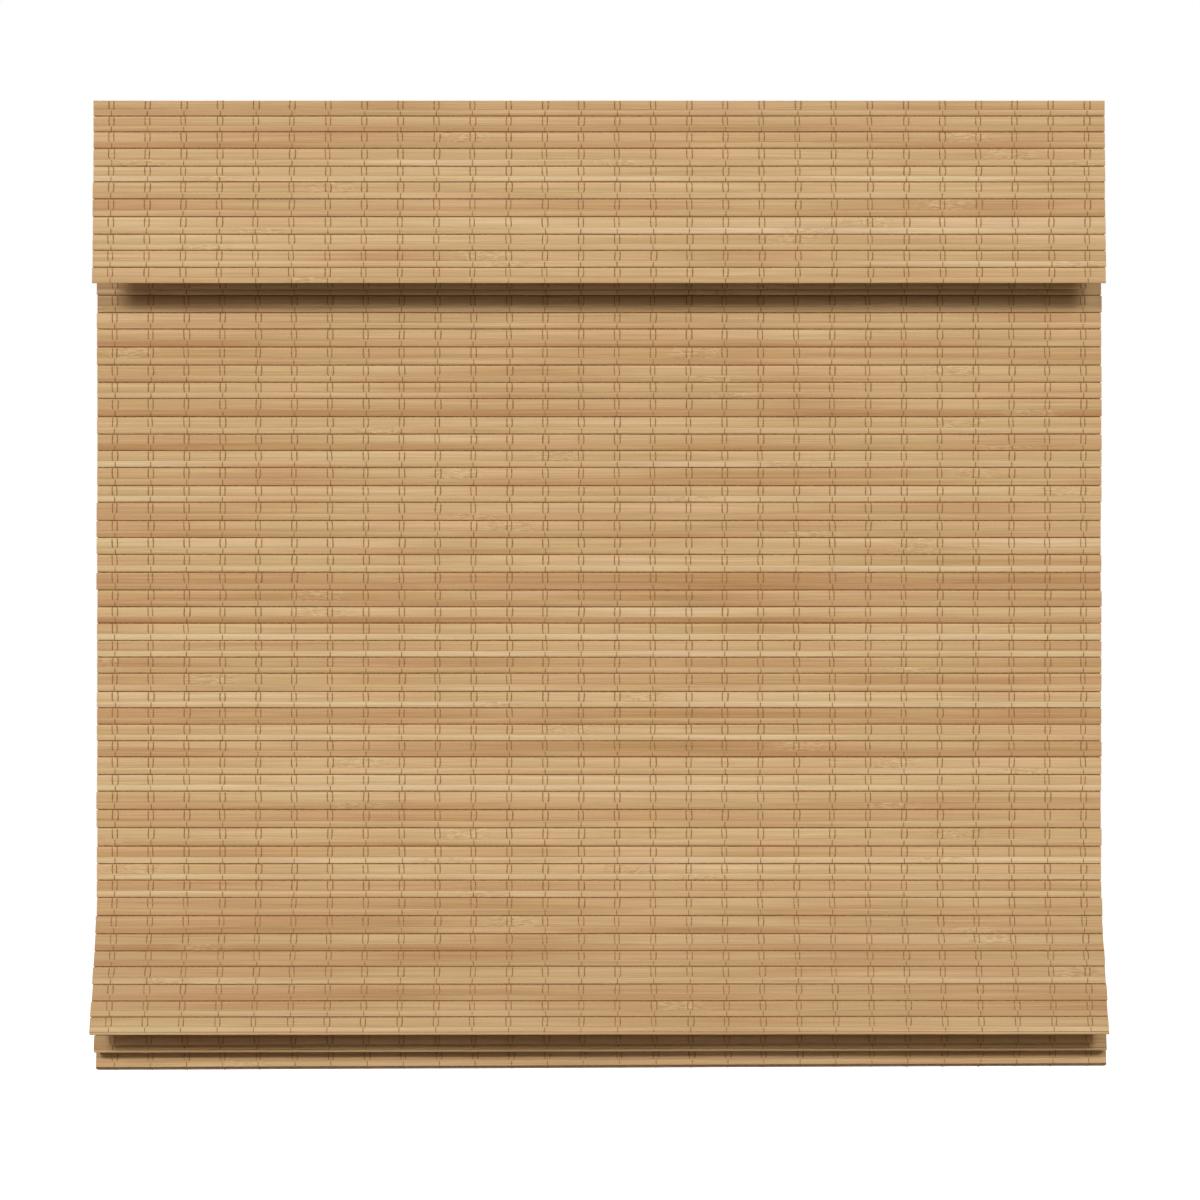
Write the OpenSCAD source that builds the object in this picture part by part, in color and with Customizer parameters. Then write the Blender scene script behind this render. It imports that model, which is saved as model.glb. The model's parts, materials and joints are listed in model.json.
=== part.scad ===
// Cordless bamboo roman shade, partly raised, with a flat valance in front.
// +X is to the right, the front faces -Y and +Z is up. The origin is the centre of the
// bracket screws, on the brackets' top plane, where the shade meets the window head.

/* [Mat] */
// Width of the woven mats
mat_w = 840; // [640:5:1200]
// Slat thickness
slat_t = 1.6; // [1.2:0.1:2.2]
// Mean distance from one slat of the shade to the next
slat_pitch = 14.4; // [11:0.1:18]
// Mean distance from one slat of the valance to the next
valance_pitch = 14.05; // [11:0.05:18]
// Open gap between neighbouring slats
slat_gap = 0.8; // [0.6:0.1:1.4]
// Bevel along the edges of a slat
slat_bevel = 0.7; // [0.3:0.1:1.5]
// Share of a slat that its wide upper reed takes; a narrow reed takes the rest
reed_share = 0.63; // [0.5:0.01:0.75]
// Depth of the line between the two reeds of a slat
reed_line = 0.3; // [0.1:0.05:0.4]
// Share by which single slats are wider or narrower
slat_vary = 0.07; // [0:0.01:0.09]
// Thickness of the thread hinge between slats
thread_t = 0.5; // [0.4:0.1:0.8]
// Margin outside the outermost stitch columns
stitch_margin = 15; // [8:1:30]

/* [Drop and folds] */
// Slats in the flat part of the shade
panel_slats = 45; // [30:1:60]
// Slats in the valance
valance_slats = 11; // [6:1:15]
// Slats in the front leg of the first fold
front_slats = 9; // [8:1:12]
// Slats in each leg that climbs back to a ring line
rise_slats = 7; // [6:1:9]
// Slats in each leg that falls from a ring line
fall_slats = 8; // [7:1:10]
// Slats turned up behind the bottom rail
hem_slats = 3; // [2:1:4]
// Forward lean of the first fold
front_lean = 23.5; // [18:0.5:28]
// Forward lean of the second fold
second_lean = 14; // [10:0.5:17]
// Forward lean of the hem leg
hem_lean = 12.4; // [9:0.2:14]
// Extra lean that opens each fold towards its ring line
fold_open = 0.4; // [0.2:0.1:1.5]
// Thread length across the bend of a fold
fold_link = 2.6; // [2.4:0.1:4]
// Forward lean of the valance below its tape
valance_lean = 3.4; // [0:0.2:6]

/* [Headrail] */
// Depth of the headrail channel
rail_d = 50; // [46:1:60]
// Height of the headrail channel
rail_h = 34; // [28:1:44]
// Sheet thickness of the headrail
rail_wall = 1.2; // [0.8:0.1:1.8]
// Width of each lip turned in along the top
rail_lip = 10; // [8:1:12]
// Distance from the mat's side edge to the end cap's outer face
rail_inset = 7.6; // [4:0.2:20]
// Thickness of the end caps' flange
cap_t = 2.4; // [1.6:0.2:4]
// Length of the end caps' plug
cap_plug = 12; // [8:1:20]

/* [Brackets] */
// Sheet thickness of a bracket
bracket_t = 1.6; // [1.2:0.1:2.4]
// Width of a bracket along the headrail
bracket_w = 32; // [24:1:44]
// Distance from the headrail's end to a bracket's centre
bracket_inset = 80; // [50:5:110]
// Diameter of a bracket's screw holes
bracket_hole_d = 4.8; // [4:0.1:6]
// Distance between the two screw holes of a bracket
bracket_hole_gap = 12; // [11:0.5:14]
// Reach of a bracket's hook under the headrail's lip
bracket_hook = 4; // [3:0.5:6]

/* [Front batten] */
// Thickness of the pine batten that clamps the mat
batten_t = 15; // [12:0.5:20]
// Height of the batten
batten_h = 40; // [32:1:50]
// Bevel along the edges of the batten and the bottom rail
wood_bevel = 2; // [1:0.5:3]
// Shank diameter of the batten screws
screw_d = 3.4; // [3:0.1:4]
// Head diameter of the batten screws
screw_head_d = 7; // [6:0.1:8]
// Number of batten screws
screw_count = 5; // [3:1:7]
// Distance from the mat's side edge to the first batten screw
screw_inset = 60; // [40:5:90]
// Length of a screw's tip inside the headrail
screw_tip = 3.5; // [2:0.5:4]
// Thickness of the hook and loop tape
tape_t = 2.4; // [1.6:0.1:3.2]
// Height of the hook and loop tape
tape_h = 20; // [16:1:26]

/* [Lift] */
// Diameter of the lift cords
cord_d = 1.4; // [1:0.1:2]
// Distance of the lift cords behind the mat's middle plane
cord_back = 9.5; // [9:0.1:11]
// Distance from the mat's side edge to the outer lift cords
cord_inset = 140; // [120:5:200]
// Barrel radius of a cord spool
spool_r = 6; // [5.2:0.1:7]
// Barrel length of a cord spool
spool_len = 26; // [20:1:34]
// Radius of a spool's flanges
spool_flange_r = 9; // [8.6:0.1:10]
// Thickness of the flanges on spools and drums
flange_t = 1.2; // [1:0.1:1.6]
// Radius of the journals on spools and drums
journal_r = 3.6; // [3.4:0.1:4.2]
// Side of the square lift shaft
shaft_s = 4; // [3:0.1:4.4]
// Thickness of the plates that carry the journals
plate_t = 3.2; // [2.4:0.1:4]
// Thickness of the base of cradles and motor frame
base_t = 2; // [1.6:0.1:3]
// Outer diameter of the cord rings
ring_d = 12; // [11:0.5:13]
// Wire diameter of the cord rings
ring_wire = 2; // [1.6:0.1:2.4]
// Radius of the cord adjusters under the lowest rings
adjuster_r = 3.5; // [3:0.1:3.8]
// Length of the cord adjusters
adjuster_len = 14; // [10:1:20]

/* [Spring motor] */
// Distance from the middle of the shade to the spring motor
motor_x = 120; // [60:5:140]
// Barrel length of the motor's two drums
drum_len = 17; // [12:1:22]
// Radius of the drums' flanges
drum_flange_r = 7.5; // [7.2:0.1:8]
// Barrel radius of the output drum
output_r = 6; // [5.4:0.1:6.4]
// Barrel radius of the storage drum
storage_r = 4; // [3.6:0.1:4.6]
// Thickness of the spring wound on the storage drum
coil_t = 3; // [2:0.1:3]
// Thickness of the spring strip
strip_t = 0.4; // [0.3:0.1:0.6]

/* [Bottom rail] */
// Thickness of the bottom rail
bottom_t = 12; // [10:0.5:15]
// Height of the bottom rail
bottom_h = 28; // [20:1:30]
// Distance from the mat's side edge to the bottom rail's end
bottom_inset = 3; // [2:1:10]

/* [Hidden] */
$fn = 48;

// Clearances: flat seats, snapped sheets, running journals, fitted squares and soft mats
seat = 0.1;
snap = 0.2;
run = 0.06;
square_fit = 0.05;
mat_fit = 0.3;

// The phase that makes neighbouring slats differ in width
slat_phase = 147.2;
// Share of a gap that is cut right through between the stitch margins
slit_share = 0.6;
// Slats over which the first fold swings out to its full lean
swing_slats = 4;
// Slats of the valance that lie flat on the tape
taped_slats = 2;
// Slat joints of the shade where the two ring rows are sewn
upper_ring_joint = 17;
lower_ring_joint = 31;
// Distance below the edge of a fold where its rings are sewn
ring_drop = 3;
// Distance from the headrail's top down to the top edge of the mat
mat_lower = 2.2;
// Distance from the batten's top down to the tape
tape_lower = 4;
// Play between the flanges of the two drums, and between flanges and plates
drum_gap = 0.6;
plate_gap = 0.4;
// Wall around a journal in its plate, and how far each side of its snap slot grips over it
journal_wall = 4;
journal_grip = 0.5;
// Turns of cord on a spool at this height
cord_turns = 4;
// Play of a cord in its eyelet, and of an eyelet's flange around its body
eyelet_play = 0.9;
eyelet_wall = 1.4;
eyelet_rim = 1.5;
eyelet_rim_t = 0.8;
// Knot under a cord adjuster
knot_r = 1.5;

// Headrail, mat, batten, tape and valance from back to front
rail_top = -bracket_t - snap;
rail_floor = rail_top - rail_h + rail_wall;
rail_len = mat_w - 2 * rail_inset - 2 * cap_t;
mat_y = -rail_d / 2 - seat - slat_t / 2;
mat_top = rail_top - mat_lower;
batten_back = mat_y - slat_t / 2 - seat;
batten_front = batten_back - batten_t;
batten_len = mat_w - 2 * rail_inset;
valance_y = batten_front - tape_t - 2 * seat - slat_t / 2;
screw_z = rail_top - rail_h / 2;
screw_len = batten_t + 2 * seat + slat_t + seat + rail_wall + screw_tip;

// Lift gear
cord_y = mat_y + cord_back;
cord_x = mat_w / 2 - cord_inset;
cord_places = [-cord_x, 0, cord_x];
shaft_y = cord_y + cord_d / 2 + square_fit + spool_r;
shaft_z = rail_top - rail_h / 2;
journal_len = plate_gap + plate_t + drum_gap;
spool_half = spool_len / 2 + flange_t;
drum_half = drum_len / 2 + flange_t;
storage_y = shaft_y + 2 * drum_flange_r + drum_gap;
shaft_half = cord_x + spool_half + journal_len + drum_gap;
eyelet_r = cord_d / 2 + eyelet_play + eyelet_wall;
bracket_x = rail_len / 2 - bracket_inset;

// Direction along a slat, and the way its front faces, as [y, z], for its lean from plumb
function along(lean) = [-sin(lean), -cos(lean)];
function front_of(lean) = [-cos(lean), sin(lean)];
function slat_step(i) = slat_pitch * (1 + slat_vary * sin(slat_phase * i * i));
function valance_step(i) = valance_pitch * (1 + slat_vary * sin(slat_phase * (i + 2) * (i + 2)));

// A mat is a list of segments [length, lean, is it a slat]; a segment that is no slat is bare thread
panel_mat = [for (i = [0 : panel_slats - 1]) [slat_step(i), 0, true]];
valance_mat = [for (i = [0 : valance_slats - 1])
    [valance_step(i), i < taped_slats ? 0 : valance_lean, true]];

// The legs of the stack: number of slats and lean, where a climbing leg leans past half a turn
legs = [[front_slats, front_lean], [rise_slats, front_lean + fold_open - 180],
    [fall_slats, second_lean], [rise_slats, second_lean + fold_open - 180],
    [fall_slats, hem_lean]];
function slats_before(leg) = leg == 0 ? panel_slats : slats_before(leg - 1) + legs[leg - 1][0];
function swing(leg, i) = leg == 0 ? min(1, (i + 1) / swing_slats) : 1;
function leg_slats(leg) = [for (i = [0 : legs[leg][0] - 1])
    [slat_step(slats_before(leg) + i), legs[leg][1] * swing(leg, i), true]];
function bend(leg) = [fold_link, (legs[leg - 1][1] + legs[leg][1]) / 2, false];
hem_turn = bottom_t + slat_t + 2 * mat_fit;
hem_mat = concat([[hem_turn, hem_lean - 90, true]],
    [for (i = [1 : hem_slats]) [slat_pitch, hem_lean - 180, true]]);
stack_mat = concat([for (leg = [0 : len(legs) - 1])
    each concat(leg == 0 ? [] : [bend(leg)], leg_slats(leg))], hem_mat);

// Points between the segments of a mat
function joints_of(mat, start) = [for (i = 0, p = start; i <= len(mat);
    p = i < len(mat) ? p + mat[i][0] * along(mat[i][1]) : p, i = i + 1) p];
panel_joints = joints_of(panel_mat, [mat_y, mat_top]);
valance_joints = joints_of(valance_mat, [valance_y, rail_top]);
stack_joints = joints_of(stack_mat, panel_joints[panel_slats]);

// Joints of the stack at its two ring lines and at the hem's front corner
first_line = front_slats + rise_slats + 2;
second_line = first_line + fall_slats + rise_slats + 2;
hem_corner = stack_joints[second_line + fall_slats];

// Where the rings of the folds are sewn, and the top of the adjusters under the lowest ones
first_rings = stack_joints[first_line] + ring_drop * along(second_lean);
lowest_rings = stack_joints[second_line] + ring_drop * along(hem_lean);
adjuster_top = lowest_rings[1] - ring_wire / 2 - seat;

// Distance that a slat's edge keeps from its joint, so that neighbours clear each other in a bend
function turn_at(mat, i) = i <= 0 || i >= len(mat) ? 0 : abs(mat[i][1] - mat[i - 1][1]);
function setback(mat, i) = max(slat_gap / 2, slat_t / 2 * tan(turn_at(mat, i) / 2) + seat);

// One side of a mat's section: 1 is the front, -1 the back
function slat_side(p, q, lean, p_back, q_back, side) =
    let (d = along(lean), n = side * front_of(lean), face = n * slat_t / 2,
        line = p + (q - p) * reed_share + face)
    [p + d * p_back + n * thread_t / 2, p + d * (p_back + slat_bevel) + face,
     line - d * reed_line, line - n * reed_line, line + d * reed_line,
     q - d * (q_back + slat_bevel) + face, q - d * q_back + n * thread_t / 2];
function link_side(p, q, lean, side) =
    let (d = along(lean) * thread_t / 2, n = side * front_of(lean) * thread_t / 2)
    [p + d + n, q - d + n];
function mat_side(mat, joints, side) = [for (i = [0 : len(mat) - 1])
    each mat[i][2]
        ? slat_side(joints[i], joints[i + 1], mat[i][1], setback(mat, i), setback(mat, i + 1), side)
        : link_side(joints[i], joints[i + 1], mat[i][1], side)];
function reversed(list) = [for (i = [len(list) - 1 : -1 : 0]) list[i]];
function mat_outline(mat, joints) =
    concat(mat_side(mat, joints, 1), reversed(mat_side(mat, joints, -1)));

// A [y, z] section drawn out along X, centred on the middle of the shade
module across(length) {
    rotate([90, 0, 90]) linear_extrude(length, center = true) children();
}

// A rectangle of a [y, z] section from one corner to the other
module patch(low, high) {
    translate(low) square(high - low);
}

// A rectangle of a [y, z] section with all four corners bevelled
module bevelled_patch(low, high, bevel) {
    polygon([[low[0] + bevel, low[1]], [high[0] - bevel, low[1]], [high[0], low[1] + bevel],
        [high[0], high[1] - bevel], [high[0] - bevel, high[1]], [low[0] + bevel, high[1]],
        [low[0], high[1] - bevel], [low[0], low[1] + bevel]]);
}

// A [radius, distance] profile turned about an axis along X
module turned(x, y, z) {
    translate([x, y, z]) rotate([0, 90, 0]) rotate_extrude() children();
}

// Slats joined by thread hinges, with one long gap between each two neighbours
module woven_mat(mat, joints) {
    slit = [mat_w - 2 * stitch_margin, 2 * slat_t, slit_share * slat_gap];
    difference() {
        across(mat_w) polygon(mat_outline(mat, joints));
        for (i = [1 : len(mat) - 1])
            if (mat[i][2] && mat[i - 1][2] && turn_at(mat, i) < 45)
                translate([0, joints[i][0], joints[i][1]])
                    rotate([-(mat[i][1] + mat[i - 1][1]) / 2, 0, 0]) cube(slit, center = true);
    }
}

// Centres of the batten screws along X
screw_places = [for (i = [0 : screw_count - 1])
    -mat_w / 2 + screw_inset + i * (mat_w - 2 * screw_inset) / (screw_count - 1)];

// A countersunk screw pointing back, grown by a play all round
module screw_form(play) {
    head_h = (screw_head_d - screw_d) / 2;
    rotate([-90, 0, 0]) rotate_extrude() polygon([[0, 0], [screw_head_d / 2 + play, 0],
        [screw_d / 2 + play, head_h], [screw_d / 2 + play, screw_len - screw_tip / 2],
        [0, screw_len]]);
}

// Round holes along Y for the batten screws
module screw_holes(diameter, y, depth) {
    for (x = screw_places)
        translate([x, y, screw_z]) rotate([-90, 0, 0]) cylinder(d = diameter, h = depth, center = true);
}

// Steel channel with in-turned lips, open along the top
module headrail() {
    half = rail_d / 2;
    bottom = rail_floor - rail_wall;
    color("#E9E6DF") difference() {
        across(rail_len) difference() {
            patch([-half, bottom], [half, rail_top]);
            patch([-half + rail_wall, rail_floor], [half - rail_wall, rail_top - rail_wall]);
            patch([-half + rail_lip, rail_floor], [half - rail_lip, rail_top + 1]);
        }
        screw_holes(screw_d + 2 * square_fit, -half, 4 * rail_wall);
        for (x = cord_places)
            translate([x, cord_y, rail_floor - rail_wall / 2])
                cylinder(r = eyelet_r + square_fit, h = 3 * rail_wall, center = true);
    }
}

// Moulded end cap: a flange over the channel's end and a hollow plug inside it
module end_cap(side) {
    half = rail_d / 2;
    bottom = rail_floor - rail_wall;
    inner = half - rail_wall - snap;
    color("#E4E0D6") {
        translate([side * (rail_len / 2 + cap_t / 2), 0, 0])
            across(cap_t) patch([-half, bottom], [half, rail_top]);
        translate([side * (rail_len / 2 - cap_plug / 2), 0, 0]) across(cap_plug) difference() {
            patch([-inner, rail_floor + snap], [inner, rail_top - rail_wall - snap]);
            patch([-inner + cap_t, rail_floor + snap + cap_t],
                [inner - cap_t, rail_top - rail_wall - snap - cap_t]);
        }
    }
}

module end_cap_left() { end_cap(-1); }
module end_cap_right() { end_cap(1); }

// Sheet bracket with two hooks that snap under the headrail's lips
module bracket(x) {
    leg = rail_d / 2 - rail_lip - snap;
    hook_top = rail_top - rail_wall - snap;
    hook_bottom = hook_top - bracket_t;
    color("#C9CBCC") translate([x, 0, 0]) difference() {
        union() {
            across(bracket_w) patch([-rail_d / 2 + rail_wall, -bracket_t], [rail_d / 2 - rail_wall, 0]);
            for (side = [-1, 1]) across(bracket_w)
                polygon([[side * (leg - bracket_t), -bracket_t / 2], [side * leg, -bracket_t / 2],
                    [side * leg, hook_top], [side * (leg + bracket_hook), hook_top],
                    [side * (leg + bracket_hook - bracket_t), hook_bottom],
                    [side * (leg - bracket_t), hook_bottom]]);
        }
        for (side = [-1, 1])
            translate([0, side * bracket_hole_gap / 2, -bracket_t / 2])
                cylinder(d = bracket_hole_d, h = 3 * bracket_t, center = true);
    }
}

module bracket_left() { bracket(-bracket_x); }
module bracket_right() { bracket(bracket_x); }

// Pine strip that clamps the mat to the headrail
module front_batten() {
    color("#D9BC8C") difference() {
        across(batten_len)
            bevelled_patch([batten_front, rail_top - batten_h], [batten_back, rail_top], wood_bevel);
        for (x = screw_places) translate([x, batten_front, screw_z]) screw_form(seat);
    }
}

module batten_screws() {
    color("#B9B4A6") for (x = screw_places) translate([x, batten_front, screw_z]) screw_form(0);
}

// Hook and loop tape that carries the valance
module valance_tape() {
    tape_top = rail_top - tape_lower;
    color("#E8E2D2") across(batten_len)
        patch([batten_front - seat - tape_t, tape_top - tape_h], [batten_front - seat, tape_top]);
}

module valance() {
    color("#CDAA79") woven_mat(valance_mat, valance_joints);
}

module shade_panel() {
    color("#C9A573") difference() {
        woven_mat(panel_mat, panel_joints);
        screw_holes(screw_d + 2 * mat_fit, mat_y, 4 * slat_t);
    }
}

module fold_stack() {
    color("#C39D6B") woven_mat(stack_mat, stack_joints);
}

// A plate across X that carries a journal: a foot on the base and a round head
module journal_plate(y, foot_w, head_r) {
    translate([y - foot_w / 2, rail_floor + seat]) square([foot_w, shaft_z - rail_floor - seat]);
    translate([y, shaft_z]) circle(head_r);
}

// Bore for a journal along X, with the slot above it through which the journal snaps in
module journal_seat(y, length, slot_h) {
    translate([0, y, shaft_z]) {
        rotate([0, 90, 0]) cylinder(r = journal_r + run, h = length, center = true);
        translate([0, 0, slot_h / 2]) cube([length, 2 * (journal_r - journal_grip), slot_h], center = true);
    }
}

// Moulded cradle that carries one spool over its cord hole
module cradle(x) {
    head_r = journal_r + journal_wall;
    inner = spool_half + plate_gap;
    foot = [cord_y - eyelet_r - eyelet_rim - 2 * snap - base_t, shaft_y + head_r];
    color("#EFEDE6") translate([x, 0, 0]) difference() {
        union() {
            across(2 * (inner + plate_t))
                patch([foot[0], rail_floor + seat], [foot[1], rail_floor + seat + base_t]);
            for (side = [-1, 1]) translate([side * (inner + plate_t / 2), 0, 0])
                across(plate_t) journal_plate(shaft_y, 2 * head_r, head_r);
        }
        journal_seat(shaft_y, 2 * (inner + 2 * plate_t), 2 * head_r);
        translate([0, cord_y, rail_floor])
            cylinder(r = eyelet_r + eyelet_rim + snap, h = 4 * base_t, center = true);
    }
}

module cradle_left() { cradle(cord_places[0]); }
module cradle_middle() { cradle(cord_places[1]); }
module cradle_right() { cradle(cord_places[2]); }

// Open frame of the spring motor: two plates on one base, with bores for both drums
module motor_frame() {
    head_r = drum_flange_r + 1;
    inner = drum_half + plate_gap;
    base_low = rail_floor + seat;
    color("#EFEDE6") translate([motor_x, 0, 0]) difference() {
        union() {
            across(2 * (inner + plate_t))
                patch([shaft_y - head_r, base_low], [storage_y + head_r, base_low + base_t]);
            for (side = [-1, 1]) translate([side * (inner + plate_t / 2), 0, 0]) across(plate_t) {
                journal_plate(shaft_y, 2 * head_r, head_r);
                journal_plate(storage_y, 2 * head_r, head_r);
            }
        }
        for (y = [shaft_y, storage_y]) journal_seat(y, 2 * (inner + 2 * plate_t), 2 * head_r);
    }
}

// Riveted eyelets that guide the cords through the headrail's floor
module cord_eyelets() {
    bore = cord_d / 2 + eyelet_play;
    rim = eyelet_r + eyelet_rim;
    low = rail_floor - rail_wall - seat;
    high = rail_floor + seat;
    color("#D8D5CC") for (x = cord_places) translate([x, cord_y, 0]) rotate_extrude()
        polygon([[bore, low - eyelet_rim_t], [rim, low - eyelet_rim_t], [rim, low], [eyelet_r, low],
            [eyelet_r, high], [rim, high], [rim, high + eyelet_rim_t], [bore, high + eyelet_rim_t]]);
}

// Lift cord: turns on the spool, the straight fall through the rings, and a knot below the adjuster
module lift_cord(x) {
    cord_low = adjuster_top - adjuster_len - seat - knot_r;
    wound_r = spool_r + square_fit;
    color("#E6DECB") {
        turned(x + cord_d / 2, shaft_y, shaft_z)
            translate([wound_r, -cord_turns * cord_d]) square([cord_d, cord_turns * cord_d]);
        translate([x, cord_y, cord_low]) cylinder(d = cord_d, h = shaft_z - cord_low);
        translate([x, cord_y, cord_low]) sphere(knot_r);
    }
}

module lift_cord_left() { lift_cord(cord_places[0]); }
module lift_cord_middle() { lift_cord(cord_places[1]); }
module lift_cord_right() { lift_cord(cord_places[2]); }

module lift_shaft() {
    color("#B4B7BA") translate([0, shaft_y, shaft_z]) cube([2 * shaft_half, shaft_s, shaft_s], center = true);
}

// A flanged barrel with a journal at each end, turned about X
module flanged_barrel(barrel_r, barrel_half, flange_r) {
    flange = barrel_half + flange_t;
    end = flange + journal_len;
    rotate([0, 90, 0]) rotate_extrude() polygon([[0, -end], [journal_r, -end], [journal_r, -flange],
        [flange_r, -flange], [flange_r, -barrel_half], [barrel_r, -barrel_half], [barrel_r, barrel_half],
        [flange_r, barrel_half], [flange_r, flange], [journal_r, flange], [journal_r, end], [0, end]]);
}

// Square hole for the lift shaft
module shaft_hole(length) {
    cube([length, shaft_s + 2 * square_fit, shaft_s + 2 * square_fit], center = true);
}

module spool(x) {
    color("#F1EFE8") translate([x, shaft_y, shaft_z]) difference() {
        flanged_barrel(spool_r, spool_len / 2, spool_flange_r);
        shaft_hole(2 * (spool_half + 2 * journal_len));
    }
}

module spool_left() { spool(cord_places[0]); }
module spool_middle() { spool(cord_places[1]); }
module spool_right() { spool(cord_places[2]); }

module output_drum() {
    color("#D9D6CD") translate([motor_x, shaft_y, shaft_z]) difference() {
        flanged_barrel(output_r, drum_len / 2, drum_flange_r);
        shaft_hole(2 * (drum_half + 2 * journal_len));
    }
}

module storage_drum() {
    color("#D9D6CD") translate([motor_x, storage_y, shaft_z])
        flanged_barrel(storage_r, drum_len / 2, drum_flange_r);
}

// Spring strip: a coil on the storage drum, one turn on the output drum and the run between them
module power_spring() {
    strip_w = drum_len - 2 * drum_gap;
    output_in = output_r + square_fit;
    storage_in = storage_r + square_fit;
    output_mid = output_in + strip_t / 2;
    storage_mid = storage_in + coil_t - strip_t / 2;
    rise = acos((output_mid + storage_mid) / (storage_y - shaft_y));
    out = [cos(rise), sin(rise)];
    leave = [shaft_y, shaft_z] + output_mid * out;
    arrive = [storage_y, shaft_z] - storage_mid * out;
    way = (arrive - leave) / norm(arrive - leave);
    thick = [-way[1], way[0]] * strip_t / 2;
    color("#8F9498") translate([motor_x, 0, 0]) {
        turned(0, shaft_y, shaft_z)
            translate([output_in, -strip_w / 2]) square([strip_t, strip_w]);
        turned(0, storage_y, shaft_z)
            translate([storage_in, -strip_w / 2]) square([coil_t, strip_w]);
        across(strip_w) polygon([leave + thick, arrive + thick, arrive - thick, leave - thick]);
    }
}

// Cord rings lying level behind the mat at one [y, z] place
module ring_row(place) {
    y = place[0] + slat_t / 2 + mat_fit + ring_d / 2;
    color("#EDE9DD") for (x = cord_places) translate([x, y, place[1]])
        rotate_extrude() translate([ring_d / 2 - ring_wire / 2, 0]) circle(d = ring_wire);
}

module ring_row_upper() { ring_row(panel_joints[upper_ring_joint]); }
module ring_row_lower() { ring_row(panel_joints[lower_ring_joint]); }
module fold_rings() {
    ring_row(first_rings);
    ring_row(lowest_rings);
}

// Small turned barrels that lock the cords' lengths under the lowest rings
module cord_adjusters() {
    bore = cord_d / 2 + seat;
    low = adjuster_top - adjuster_len;
    color("#F1EEE4") for (x = cord_places) translate([x, cord_y, low]) rotate_extrude()
        polygon([[bore, 0], [adjuster_r - 1, 0], [adjuster_r, 1], [adjuster_r, adjuster_len - 1],
            [adjuster_r - 1, adjuster_len], [bore, adjuster_len]]);
}

// Wooden bar held in the hem
module bottom_rail() {
    centre = hem_corner + along(hem_lean - 90) * hem_turn / 2
        - along(hem_lean) * (slat_t / 2 + mat_fit + bottom_h / 2);
    half = [bottom_t / 2, bottom_h / 2];
    color("#C8A674") translate([0, centre[0], centre[1]]) rotate([-hem_lean, 0, 0])
        across(mat_w - 2 * bottom_inset) bevelled_patch(-half, half, wood_bevel);
}

headrail();
end_cap_left();
end_cap_right();
bracket_left();
bracket_right();
front_batten();
batten_screws();
valance_tape();
valance();
shade_panel();
cradle_left();
cradle_middle();
cradle_right();
motor_frame();
cord_eyelets();
lift_cord_left();
lift_cord_middle();
lift_cord_right();
lift_shaft();
spool_left();
spool_middle();
spool_right();
output_drum();
storage_drum();
power_spring();
ring_row_upper();
ring_row_lower();
fold_stack();
fold_rings();
cord_adjusters();
bottom_rail();
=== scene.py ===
"""Looks of a cordless bamboo roman shade: split bamboo mats, their stitching, and the lift gear behind.

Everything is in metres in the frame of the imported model: +X right, the room towards -Y, +Z up, the origin
at the bracket screws on the window head. The mats are rebuilt slat by slat over their plain solids, and the
hard pieces keep their own shape and get a finish.
"""
import json
import logging
import math
import random
from dataclasses import dataclass, replace
from enum import Enum
from typing import Any, Callable, ClassVar, Iterator, Sequence

import bpy
from mathutils import Matrix, Vector


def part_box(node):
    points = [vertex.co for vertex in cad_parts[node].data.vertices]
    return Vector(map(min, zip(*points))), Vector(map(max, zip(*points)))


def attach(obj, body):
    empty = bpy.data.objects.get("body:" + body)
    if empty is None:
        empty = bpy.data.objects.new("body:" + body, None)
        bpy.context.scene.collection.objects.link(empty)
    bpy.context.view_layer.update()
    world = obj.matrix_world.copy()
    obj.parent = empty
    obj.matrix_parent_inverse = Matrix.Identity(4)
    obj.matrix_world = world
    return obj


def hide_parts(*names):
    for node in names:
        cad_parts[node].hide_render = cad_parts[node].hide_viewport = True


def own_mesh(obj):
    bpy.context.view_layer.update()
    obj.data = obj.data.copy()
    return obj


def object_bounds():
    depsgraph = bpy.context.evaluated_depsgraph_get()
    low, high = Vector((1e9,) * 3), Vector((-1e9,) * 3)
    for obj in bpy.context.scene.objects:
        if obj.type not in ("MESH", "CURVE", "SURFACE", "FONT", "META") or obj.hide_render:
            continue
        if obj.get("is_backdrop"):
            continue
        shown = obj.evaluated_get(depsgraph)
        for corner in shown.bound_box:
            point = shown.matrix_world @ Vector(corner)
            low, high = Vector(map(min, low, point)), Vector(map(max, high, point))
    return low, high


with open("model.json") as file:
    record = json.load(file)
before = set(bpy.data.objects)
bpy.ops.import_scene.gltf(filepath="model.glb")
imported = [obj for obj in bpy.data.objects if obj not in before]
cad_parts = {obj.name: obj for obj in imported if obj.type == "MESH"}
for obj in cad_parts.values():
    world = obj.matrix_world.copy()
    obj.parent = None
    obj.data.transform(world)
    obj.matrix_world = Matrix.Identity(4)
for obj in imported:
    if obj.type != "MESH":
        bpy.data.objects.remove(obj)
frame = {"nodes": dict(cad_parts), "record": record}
CAD_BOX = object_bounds()

LOG = logging.getLogger("roman_shade")
MM = 0.001
WEAVING_SEED = 11
# Painted shade mixes colours towards this black.
SHADE_BLACK = "#000000"
# Most values of a noise lie in this range, evenly about its middle.
NOISE_SPAN = (0.3, 0.7)
NOISE_MIDDLE = 0.5
# Settings that many nodes share: a smooth change of range, and a mix of colours.
EASED = {"interpolation_type": "SMOOTHSTEP"}
COLOURS = {"data_type": "RGBA"}
UNSTRETCHED = (1.0, 1.0, 1.0)

Solid = tuple[list[Vector], list[tuple[int, ...]]]
Row = dict[str, Any]


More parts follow.
